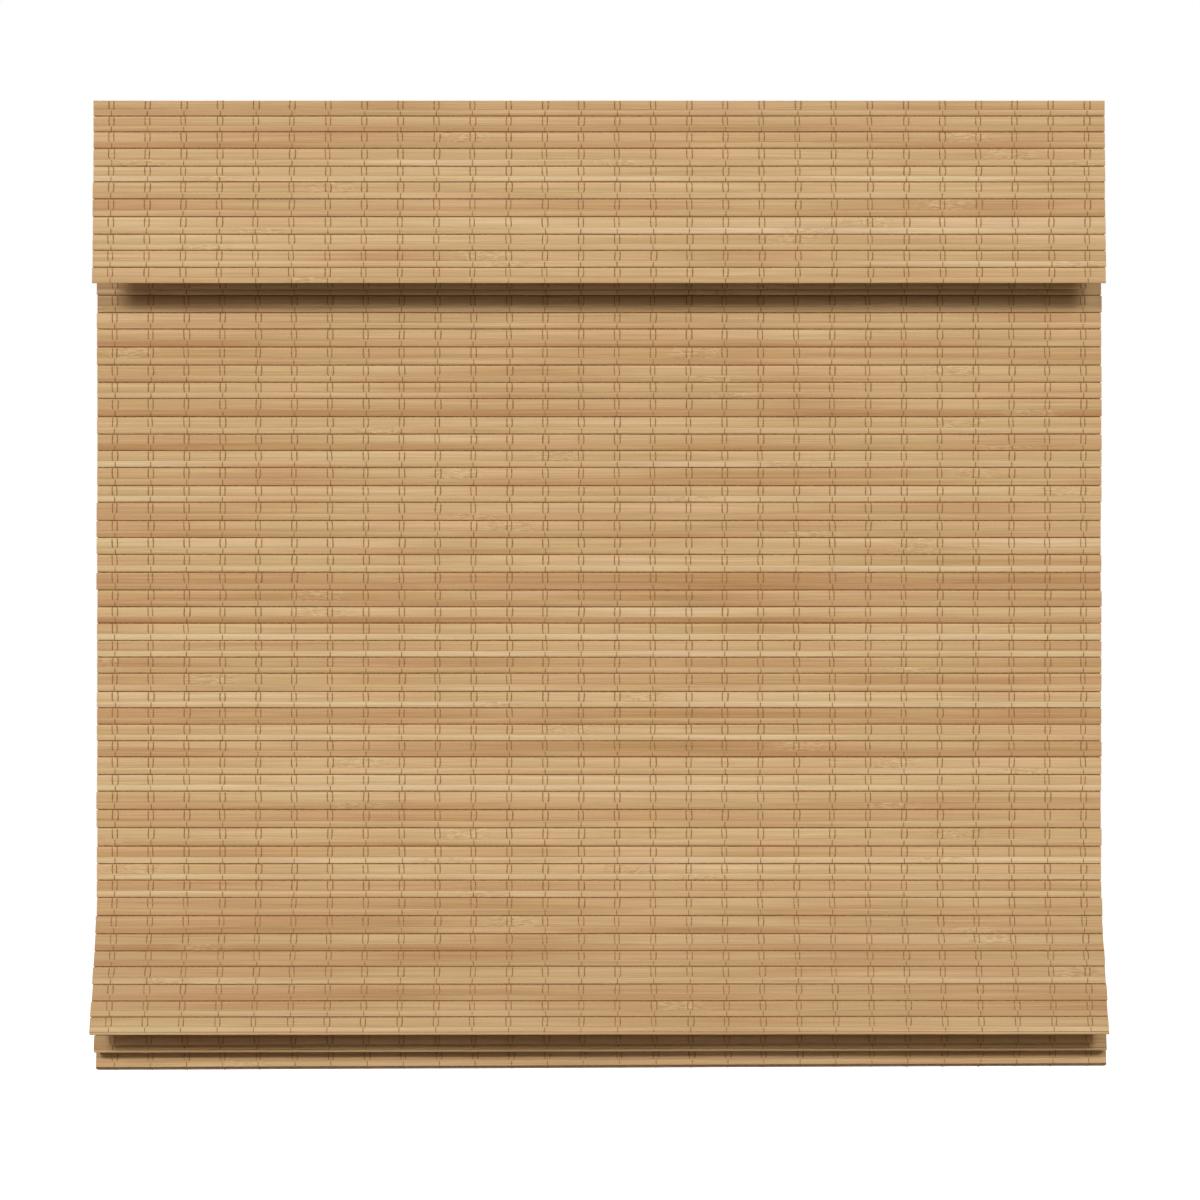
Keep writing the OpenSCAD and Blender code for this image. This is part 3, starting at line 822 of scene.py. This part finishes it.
@dataclass
class MatMaker:
    """Makes the strips, joints and stitches of a stretch of mat, as two pieces: bamboo and thread.

    The joint's height is in gaps and its thickness in slats. The narrow reed that edges a fold is as high as
    edge_h of the fold's turn, and the thread line above it stands line_up of that turn higher. A thread's
    middle lies sunk of its radius inside the slat's face where it dips, and proud of it outside elsewhere.
    """

    weave: Weave
    finishes: Finishes
    width: float
    rng: random.Random
    stations: int = 36
    round_r: float = 0.45 * MM
    meet_r: float = 0.12 * MM
    wave_h: float = 0.55 * MM
    wave_l: float = 190.0 * MM
    inset: float = 0.7 * MM
    joint_h: float = 2.4
    joint_t: float = 0.3
    edge_h: float = 0.8
    edge_t: float = 1.1
    line_up: float = 0.4
    line_h: float = 0.2
    line_t: float = 3.7
    slat_spread: float = 0.12
    strip_spread: float = 0.15
    slat_crease: float = 50.0
    thread_crease: float = 60.0
    sunk: float = 0.5
    proud: float = 0.35
    tail_r: float = 0.85
    face_sides: int = 5
    back_sides: int = 4
    play: float = 0.35 * MM
    stitch_seed: int = 7

    def __post_init__(self) -> None:
        """Build the shapes and trees that every mat repeats."""
        self.strips = {kind: placed("strip", self._strip(kind)) for kind in Strip}
        self.joint = placed("joint", self._joint())
        self.stitch = placed("stitch", self._stitch())
        self.slat_tree = SlatTree()
        self.stitch_tree = StitchTree()

    def _strip(self, kind: Strip) -> bpy.types.Mesh:
        """Make one strip of mean width: a bar along X that is rounded at the slat's edge.

        Args:
            kind: Which of the slat's two strips it is.

        Returns:
            A mesh that carries its own coordinates.
        """
        half_t = self.weave.slat_t / 2
        half_h = (self.weave.pitch - self.weave.gap) * kind.value / 2
        outer = 1 if kind is Strip.WIDE else -1
        section = []
        for side_y, side_z, first in ((-1, 1, 90), (-1, -1, 180), (1, -1, 270), (1, 1, 0)):
            r = self.round_r if side_z == outer else self.meet_r
            for turn in (first, first + 45, first + 90):
                a = math.radians(turn)
                y, z = side_y * (half_t - r), side_z * (half_h - r)
                section.append((y + r * math.cos(a), z + r * math.sin(a)))
        xs = [-self.width / 2 + self.width * i / self.stations for i in range(self.stations + 1)]
        mesh = mesh_of("strip", prism([[Vector((x, y, z)) for y, z in section] for x in xs]))
        set_values(mesh, "along", [v.co.x for v in mesh.vertices])
        set_values(mesh, "across", [v.co.z for v in mesh.vertices])
        set_values(mesh, "rim", [max(0.0, outer * v.co.z) / half_h for v in mesh.vertices])
        return mesh

    def _joint(self) -> bpy.types.Mesh:
        """Make the thread hinge between two slats, which shows dark there as painted shade.

        Returns:
            A flat bar along X.
        """
        y = self.weave.slat_t * self.joint_t / 2
        z = self.weave.gap * self.joint_h / 2
        section = [(-y, -z), (y, -z), (y, z), (-y, z)]
        reach = self.width / 2 - self.inset
        return mesh_of("joint", prism([[Vector((x, a, b)) for a, b in section] for x in (-reach, reach)]))

    def _stitch(self) -> bpy.types.Mesh:
        """Make one stitch on a slat of mean width.

        Returns:
            A pair of threads that closes to one below, and one thread behind.
        """
        w = self.weave
        face = w.slat_t / 2
        r = w.thread_d / 2
        half = w.pitch / 2
        under = -face + self.sunk * r
        over = -face - self.proud * r
        # Across in spreads of the pair, then depth, then height in halves of the slat.
        pair = ((0.8, under, 0.97), (0.98, over, 0.86), (1.0, over, 0.3), (0.98, over, 0.0),
                (0.66, under, -0.2))
        tail = ((0.0, under, -0.34), (0.0, over, -0.46), (0.0, over, -0.86), (0.0, under, -1.0))
        behind = ((0.0, -over, 1.0), (0.0, -over, -1.0))
        threads = ((pair, -1, r, self.face_sides), (pair, 1, r, self.face_sides),
                   (tail, 1, self.tail_r * r, self.face_sides), (behind, 1, r, self.back_sides))
        return mesh_of("stitch", *(
            tube([Vector((side * w.pair_spread * x, y, z * half)) for x, y, z in route], radius, sides)
            for route, side, radius, sides in threads))

    @staticmethod
    def _rows(name: str, rows: list[Row]) -> bpy.types.Mesh:
        """Make a mesh of loose points.

        Args:
            name: The mesh's name.
            rows: Place, turn, tilt, stretch, tone, painted shade and slat of each point.

        Returns:
            The mesh.
        """
        mesh = bpy.data.meshes.new(name)
        mesh.from_pydata([row["place"] for row in rows], [], [])
        for key in ("turn", "tilt", "stretch"):
            set_values(mesh, key, [row[key] for row in rows], "FLOAT_VECTOR")
        for key in ("tone", "dull", "slat"):
            set_values(mesh, key, [row[key] for row in rows])
        return mesh

    def _fold_edge(self, row: Row, foot: Vector, up: Vector, tone: float) -> tuple[Row, Row]:
        """Make rows for the narrow reed that edges a fold, and the dark thread line above it, a joint in
        painted shade.

        Args:
            row: Turn, tilt and slat of the leg that ends there.
            foot: The joint at its end.
            up: The way up the leg.
            tone: The reed's tone.

        Returns:
            A row of narrow strips and a row of joints.
        """
        w = self.weave
        narrow = (w.pitch - w.gap) * Strip.NARROW.value
        size = (1.0, self.edge_t, w.link * self.edge_h / narrow)
        line_size = (1.0, self.line_t, self.line_h)
        return (row | {"place": foot, "stretch": size, "tone": tone},
                row | {"place": foot + up * w.link * self.line_up, "stretch": line_size})

    def _lay(self, mat: Sequence[Segment], look: Look, uneven: float,
             goes_on: bool) -> tuple[dict[Strip, list[Row]], list[Row], list[Row]]:
        """Lay out a stretch of mat.

        Args:
            mat: Its segments.
            look: As make takes it.
            uneven: As make takes it.
            goes_on: As make takes it.

        Returns:
            Rows of strips of each kind, of joints and of stitches.
        """
        w = self.weave
        strips: dict[Strip, list[Row]] = {kind: [] for kind in Strip}
        joints: list[Row] = []
        stitches: list[Row] = []
        for segment, following in zip(mat, [*mat[1:], None]):
            if not segment.is_slat:
                continue
            lean = math.radians(segment.lean)
            up = Vector((0.0, math.sin(lean), math.cos(lean)))
            slat_no = self.rng.random()
            tone, dull = look(segment)
            row = {"turn": (-lean, -segment.tilt, 0.0), "tilt": (0.0, -segment.tilt, 0.0),
                   "slat": slat_no, "tone": slat_no, "dull": dull}
            foot = Vector((segment.aside, *segment.end))
            if goes_on or following:
                # A joint takes the deeper painted shade of the two slats beside it.
                deeper_painted_shade = max(dull, look(following)[1]) if following and following.is_slat else dull
                joints.append(row | {"place": foot, "stretch": UNSTRETCHED, "dull": deeper_painted_shade})
            swell = segment.length / w.pitch
            stretch = (1.0, 1.0, swell)
            middle = Vector((segment.aside + self.rng.uniform(-uneven, uneven), *segment.middle))
            slat_tone = self.rng.gauss(tone, self.slat_spread)
            slat_h = segment.length - w.gap * swell
            top = slat_h / 2
            for kind in Strip:
                height = slat_h * kind.value
                offset = top - height / 2
                top -= height
                strip_tone = slat_tone
                if kind is Strip.NARROW:
                    strip_tone += self.rng.gauss(0.0, self.strip_spread)
                strips[kind].append(row | {"place": middle + up * offset, "stretch": stretch,
                                           "tone": min(1.0, max(0.0, strip_tone))})
            centre = Vector((segment.aside, *segment.middle))
            stitches.append(row | {"place": centre, "stretch": stretch, "dull": 0.0})
            if following and not following.is_slat:
                reed, line = self._fold_edge(row, foot, up, slat_tone)
                strips[Strip.NARROW].append(reed)
                joints.append(line)
        return strips, joints, stitches

    def make(self, name: str, mat: Sequence[Segment], look: Look, uneven: float,
             goes_on: bool = False) -> tuple[bpy.types.Object, bpy.types.Object]:
        """Make a stretch of mat.

        Args:
            name: First part of the pieces' names.
            mat: Its segments.
            look: The mean tone of a segment, from 0 for pale to 1 for reddish, and how far painted shade
                darkens it.
            uneven: How far slat ends stand out of line.
            goes_on: Whether more of the mat hangs from its end, by one more joint.

        Returns:
            The bamboo piece and the thread piece.
        """
        w = self.weave
        strips, joints, stitches = self._lay(mat, look, uneven, goes_on)
        parts = [self.slat_tree.make(f"{name}_{kind.name.lower()}", self._rows(name, rows), {
            "Strip": self.strips[kind], "Finish": self.finishes.bamboo, "Wave height": self.wave_h,
            "Wave length": self.wave_l}) for kind, rows in strips.items()]
        bamboo = joined(f"{name}_slats", parts)
        smoothed(bamboo, self.slat_crease)
        threads = self.stitch_tree.make(f"{name}_stitches", self._rows(name, stitches), {
            "Stitch": self.stitch, "Finish": self.finishes.thread, "Columns": w.columns,
            "Column pitch": w.column_pitch, "Play": self.play, "Seed": self.stitch_seed})
        webs = self.slat_tree.make(f"{name}_webs", self._rows(name, joints), {
            "Strip": self.joint, "Finish": self.finishes.joint, "Wave height": 0.0,
            "Wave length": self.wave_l})
        thread = joined(f"{name}_thread", [threads, webs])
        smoothed(thread, self.thread_crease)
        return bamboo, thread

    def clear(self) -> None:
        """Take the repeated shapes out of the scene."""
        for shape in (*self.strips.values(), self.joint, self.stitch):
            bpy.data.objects.remove(shape)


@dataclass
class Valance:
    """The flat mat in front, hung from its tape with a slight lean."""

    maker: MatMaker
    slats: int = 11
    taped: int = 2
    lean: float = 3.4
    first: int = 2
    tone: float = 0.36
    uneven: float = 0.25 * MM

    def build(self) -> None:
        """Build the valance over its solid."""
        w = self.maker.weave
        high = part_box("valance")[1]
        steps = [(w.valance_pitch * w.swell(i + self.first), 0.0 if i < self.taped else self.lean, True)
                 for i in range(self.slats)]
        mat = Chain((high.y - w.slat_t / 2, high.z + w.gap / 2)).run(steps)
        for piece in self.maker.make("valance", mat, lambda _: (self.tone, 0.0), self.uneven):
            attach(piece, Body.HEADRAIL.value)
            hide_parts("valance")
            LOG.info("made %s", piece.name)


@dataclass
class ShadeMat:
    """The main mat: a clamped head, a flat drop, which gathers on the real shade when it is raised, and the
    folds.
    """

    maker: MatMaker
    panel_slats: int = 45
    clamped: int = 3
    front_slats: int = 9
    rise_slats: int = 7
    fall_slats: int = 8
    hem_slats: int = 3
    front_lean: float = 23.5
    second_lean: float = 14.0
    hem_lean: float = 12.4
    fold_open: float = 0.4
    swing_slats: int = 4
    rail_t: float = 12.0 * MM
    mat_fit: float = 0.3 * MM
    tone: float = 0.36
    # Painted shade on slats that face up towards the lamps: a redder tone, then a mix towards black.
    facing_up_shade_tone: float = 0.12
    facing_up_shade: float = 0.14
    # Painted shade on the hem's turn, which faces down, as a mix towards black.
    painted_shading: float = 0.6
    slip: float = 2.2 * MM
    slant: float = 0.0045
    uneven: float = 0.45 * MM

    def _look(self, segment: Segment) -> tuple[float, float]:
        """Choose a slat's look: painted shade makes it redder and darker the more it faces up towards the
        lamps, against the extra light there, and darkens the hem's turn, which faces down.

        Args:
            segment: The slat.

        Returns:
            Its tone and how far it is dulled.
        """
        # The hem's turn faces down: painted shade, with the darkest tone and a mix towards black.
        if -90 < segment.lean < 0:
            return 1.0, self.painted_shading
        # Slats that face up get painted shade: redder and darker as they turn towards the lamps.
        share = max(0.0, math.sin(math.radians(segment.lean))) / math.sin(math.radians(self.front_lean))
        return self.tone + self.facing_up_shade_tone * share, self.facing_up_shade * share

    def _legs(self) -> list[tuple[int, float]]:
        """Number of slats and lean of each leg of the stack; a climbing leg leans past half a turn."""
        climb = self.fold_open - 180
        return [(self.front_slats, self.front_lean), (self.rise_slats, self.front_lean + climb),
                (self.fall_slats, self.second_lean), (self.rise_slats, self.second_lean + climb),
                (self.fall_slats, self.hem_lean)]

    def _stack_steps(self) -> Iterator[tuple[float, float, bool]]:
        """Go down the stack from the flat drop to the hem's end.

        Returns:
            Length, lean and whether it is a slat, for each segment.
        """
        w = self.maker.weave
        count = self.panel_slats
        legs = self._legs()
        for n, (slats, lean) in enumerate(legs):
            if n:
                yield w.link, (legs[n - 1][1] + lean) / 2, False
            for i in range(slats):
                swing = min(1.0, (i + 1) / self.swing_slats) if n == 0 else 1.0
                yield w.pitch * w.swell(count), lean * swing, True
                count += 1
        yield self.rail_t + w.slat_t + 2 * self.mat_fit, self.hem_lean - 90, True
        for _ in range(self.hem_slats):
            yield w.pitch, self.hem_lean - 180, True

    def build(self) -> None:
        """Build the three stretches of mat and hang each on the body that it rides with."""
        w = self.maker.weave
        low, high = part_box("shade_panel")
        chain = Chain(((low.y + high.y) / 2, high.z + w.gap / 2))
        flat = [(w.pitch * w.swell(i), 0.0, True) for i in range(self.panel_slats)]
        head = chain.run(flat[:self.clamped])
        anchor = chain.at
        drop = chain.run(flat[self.clamped:])
        stack = chain.run(list(self._stack_steps()))
        shares = [i / (len(stack) - 1) for i in range(len(stack))]
        stack = [replace(s, aside=self.slip * f, tilt=self.slant * f) for s, f in zip(stack, shares)]
        for name, mat, body in (("panel_head", head, Body.HEADRAIL), ("panel_drop", drop, Body.HEADRAIL),
                                ("fold_stack", stack, Body.STACK)):
            for piece in self.maker.make(name, mat, self._look, self.uneven, goes_on=mat is not stack):
                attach(piece, body.value)
                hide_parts("fold_stack" if body is Body.STACK else "shade_panel")
                if name == "panel_drop":
                    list(anchor)
                    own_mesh(piece)
                LOG.info("made %s", piece.name)


@dataclass
class LiftCords:
    """Braided lift cords: straight falls, which shorten on the real shade as it rises, their turns on the
    spools, and their end knots.
    """

    finishes: Finishes
    nodes: tuple[str, ...] = ("lift_cord_left", "lift_cord_middle", "lift_cord_right")
    cord_r: float = 0.7 * MM
    wound_r: float = 0.672 * MM
    tied_r: float = 0.56 * MM
    knot_r: float = 1.5 * MM
    knot_across: float = 0.8
    knot_along: float = 1.6
    turns: int = 4
    turn_steps: int = 24
    knot_steps: int = 48
    stations: int = 60
    sides: int = 8
    knot_sides: int = 7
    crease: float = 60.0

    def _fall(self, x: float, y: float, low: float, high: float) -> Solid:
        """Make one straight fall."""
        path = [Vector((x, y, high + (low - high) * i / self.stations)) for i in range(self.stations + 1)]
        return tube(path, self.cord_r, self.sides)

    def _winding(self, x: float, centre: Vector, radius: float) -> Solid:
        """Make the turns on one spool.

        Args:
            x: Where the fall leaves them.
            centre: The spool's middle.
            radius: From the spool's axis to the middle of the cord.

        Returns:
            A helix of cord.
        """
        steps = self.turns * self.turn_steps
        path = []
        for i in range(steps + 1):
            a = math.tau * i / self.turn_steps
            along = x - 2 * self.cord_r * self.turns * (1 - i / steps)
            path.append(Vector((along, centre.y - radius * math.cos(a), centre.z + radius * math.sin(a))))
        return tube(path, self.wound_r, self.sides)

    def _knot(self, x: float, y: float, low: float) -> Solid:
        """Make a small overhand knot.

        Args:
            x: The cord's place across the shade.
            y: The cord's place in depth.
            low: The knot's foot.

        Returns:
            A closed trefoil of cord.
        """
        size = self.knot_r / 3
        path = []
        for i in range(self.knot_steps + 1):
            a = math.tau * i / self.knot_steps
            path.append(Vector((x + size * (math.sin(a) + 2 * math.sin(2 * a)) * self.knot_across,
                                y + size * (math.cos(a) - 2 * math.cos(2 * a)) * self.knot_across,
                                low + self.knot_r - size * self.knot_along * math.sin(3 * a))))
        return tube(path, self.tied_r, self.knot_sides)

    def build(self) -> None:
        """Build the three pieces for all cords, which fall between the same heights."""
        falls, windings, knots = [], [], []
        top = end = 0.0
        for node in self.nodes:
            low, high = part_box(node)
            spool_low, spool_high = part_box(node.replace("lift_cord", "spool"))
            centre = (spool_low + spool_high) / 2
            radius = (high.y - low.y) / 2 - self.cord_r
            x, y = high.x - self.cord_r, centre.y - radius
            top, end = centre.z, low.z + self.knot_r
            falls.append(self._fall(x, y, end, top))
            windings.append(self._winding(x, centre, radius))
            knots.append(self._knot(x, y, low.z))
        for name, solids, body in (("lift_cord_falls", falls, Body.HEADRAIL),
                                   ("lift_cord_turns", windings, Body.DRIVE),
                                   ("lift_cord_knots", knots, Body.STACK)):
            piece = placed(name, mesh_of(name, *solids))
            piece.data.materials.append(self.finishes.cord)
            smoothed(piece, self.crease)
            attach(piece, body.value)
            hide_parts(*self.nodes)
            if solids is falls:
                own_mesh(piece)
            LOG.info("made %s", piece.name)


@dataclass
class HardPieces:
    """The pieces that keep the shape of their solids and get a finish."""

    finishes: Finishes

    def dress(self) -> None:
        """Give each solid the finish of its material slot."""
        by_slot = {
            "pine": self.finishes.pine, "enamelled_steel": self.finishes.enamel,
            "zinc_steel": self.finishes.zinc, "spring_steel": self.finishes.spring,
            "moulded_plastic": self.finishes.acetal, "lift_cord": self.finishes.cord,
            "tape": self.finishes.tape, "bamboo": self.finishes.bamboo}
        for part in frame["record"]["subparts"]:
            mesh = frame["nodes"][part["node"]].data
            mesh.materials.clear()
            mesh.materials.append(by_slot[part["material_slot"]])
            LOG.info("dressed %s", part["node"])


@dataclass(frozen=True)
class Lamp:
    """A soft rectangular lamp that the camera doesn't see.

    Args:
        name: The lamp's name.
        way: Direction from what it lights to the lamp.
        distance: How far off it hangs.
        size: Its width and height.
        power: Its power in watts.
    """

    name: str
    way: tuple[float, float, float]
    distance: float
    size: tuple[float, float]
    power: float

    def hang(self, aim: Vector) -> None:
        """Hang the lamp so that it faces a point.

        Args:
            aim: The point.
        """
        way = Vector(self.way)
        data = bpy.data.lights.new(self.name, "AREA")
        data.shape = "RECTANGLE"
        data.size, data.size_y = self.size
        data.energy = self.power
        lamp = bpy.data.objects.new(self.name, data)
        lamp.visible_camera = False
        facing = (-way).to_track_quat("-Z", "Y").to_matrix().to_4x4()
        lamp.matrix_world = Matrix.Translation(aim + way.normalized() * self.distance) @ facing
        bpy.context.scene.collection.objects.link(lamp)


@dataclass
class Studio:
    """A pale floor, a white background, soft lamps and a camera where the photograph was taken from."""

    distance: float = 2.8
    height: float = -0.417
    aside: float = 0.0008
    lens: float = 100.4
    sensor: float = 36.0
    clip_end: float = 50.0
    floor_z: float = -1.55
    floor_half: float = 7.0
    floor_near: float = -1.3
    floor_far: float = 9.0
    floor_roughness: float = 0.9
    fade: tuple[float, float] = (1.5, 4.0)
    lift: float = 0.36
    dim: float = 0.06
    white: str = "#FFFFFF"
    fill: str = "#F2C9A2"
    pale: str = "#EFECE8"
    lamps: tuple[Lamp, ...] = (
        Lamp("key_left", way=(-0.93, -1.0, 0.75), distance=12.0, size=(4.1, 2.4), power=1025.0),
        Lamp("key_right", way=(0.73, -1.0, 0.75), distance=12.0, size=(4.1, 2.4), power=755.0),
        Lamp("behind", way=(0.2, 1.0, 0.4), distance=2.6, size=(1.6, 1.2), power=30.0))

    @staticmethod
    def _seen(tree: bpy.types.NodeTree) -> bpy.types.Node:
        """Tell rays that come from the camera, or through gloss or glass, from the rest.

        Args:
            tree: The tree that asks.

        Returns:
            A node that gives one for such a ray and nought for others.
        """
        path = add(tree, "ShaderNodeLightPath").outputs
        seen = path["Is Camera Ray"]
        for ray in ("Is Glossy Ray", "Is Transmission Ray"):
            seen = add(tree, "ShaderNodeMath", [seen, path[ray]], operation="MAXIMUM")
        return seen

    def _floor(self) -> None:
        """Lay a plain floor below the shade, almost white, which fades into the background far off."""
        near, far = ([Vector((side * self.floor_half, y, self.floor_z)) for side in (-1, 1)]
                     for y in (self.floor_near, self.floor_far))
        mesh = bpy.data.meshes.new("floor")
        mesh.from_pydata([*near, *reversed(far)], [], [(0, 1, 2, 3)])
        floor = placed("floor", mesh)
        material, tree, shader = new_material("matt_floor")
        spot = add(tree, "ShaderNodeTexCoord").outputs["Object"]
        off = add(tree, "ShaderNodeVectorMath", [spot, (0.0, 0.0, self.floor_z)], operation="DISTANCE")
        glow = add(tree, "ShaderNodeMapRange", [off.outputs["Value"], *self.fade, self.lift, 1.0], **EASED)
        glow = add(tree, "ShaderNodeMath", [self._seen(tree), glow], operation="MULTIPLY")
        feed(tree, shader, {"Base Color": linear(self.pale), "Roughness": self.floor_roughness,
                            "Emission Color": linear(self.white), "Emission Strength": glow})
        mesh.materials.append(material)
        floor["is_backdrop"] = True

    def _world(self) -> None:
        """Show white to the camera and in gloss and glass, and light the object with a soft warm fill."""
        world = bpy.data.worlds.new("studio")
        bpy.context.scene.world = world
        world.use_nodes = True
        tree = world.node_tree
        seen = self._seen(tree)
        colour = add(tree, "ShaderNodeMix", {0: seen, 6: linear(self.fill), 7: linear(self.white)}, **COLOURS)
        strength = add(tree, "ShaderNodeMapRange", [seen, 0.0, 1.0, self.dim, 1.0], **EASED)
        feed(tree, tree.nodes["Background"], {"Color": colour, "Strength": strength})

    def build(self) -> None:
        """Set up floor, world, lamps and camera."""
        scene = bpy.context.scene
        scene.view_settings.view_transform = "Standard"
        self._floor()
        self._world()
        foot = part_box("valance")[0]
        for lamp in self.lamps:
            lamp.hang(Vector((0.0, foot.y, foot.z)))
        camera = bpy.data.cameras.new("camera")
        camera.lens = self.lens
        camera.sensor_width = self.sensor
        camera.clip_end = self.clip_end
        low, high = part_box("shade_panel")
        stand = bpy.data.objects.new("camera", camera)
        stand.location = (self.aside, (low.y + high.y) / 2 - self.distance, self.height)
        stand.rotation_euler = (math.radians(90), 0.0, 0.0)
        scene.collection.objects.link(stand)
        scene.camera = stand


def main() -> None:
    """Build the shade in order and report each piece."""
    logging.basicConfig(level=logging.INFO, format="%(name)s: %(message)s")
    finishes = Finishes.mix()
    Studio().build()
    HardPieces(finishes).dress()
    low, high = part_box("shade_panel")
    maker = MatMaker(Weave(), finishes, high.x - low.x, random.Random(WEAVING_SEED))
    Valance(maker).build()
    ShadeMat(maker).build()
    maker.clear()
    LiftCords(finishes).build()
    boxes = {"cad": CAD_BOX, "visual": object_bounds()}
    json.dumps({k: [list(low), list(high)] for k, (low, high) in boxes.items()})


if __name__ == "__main__":
    main()
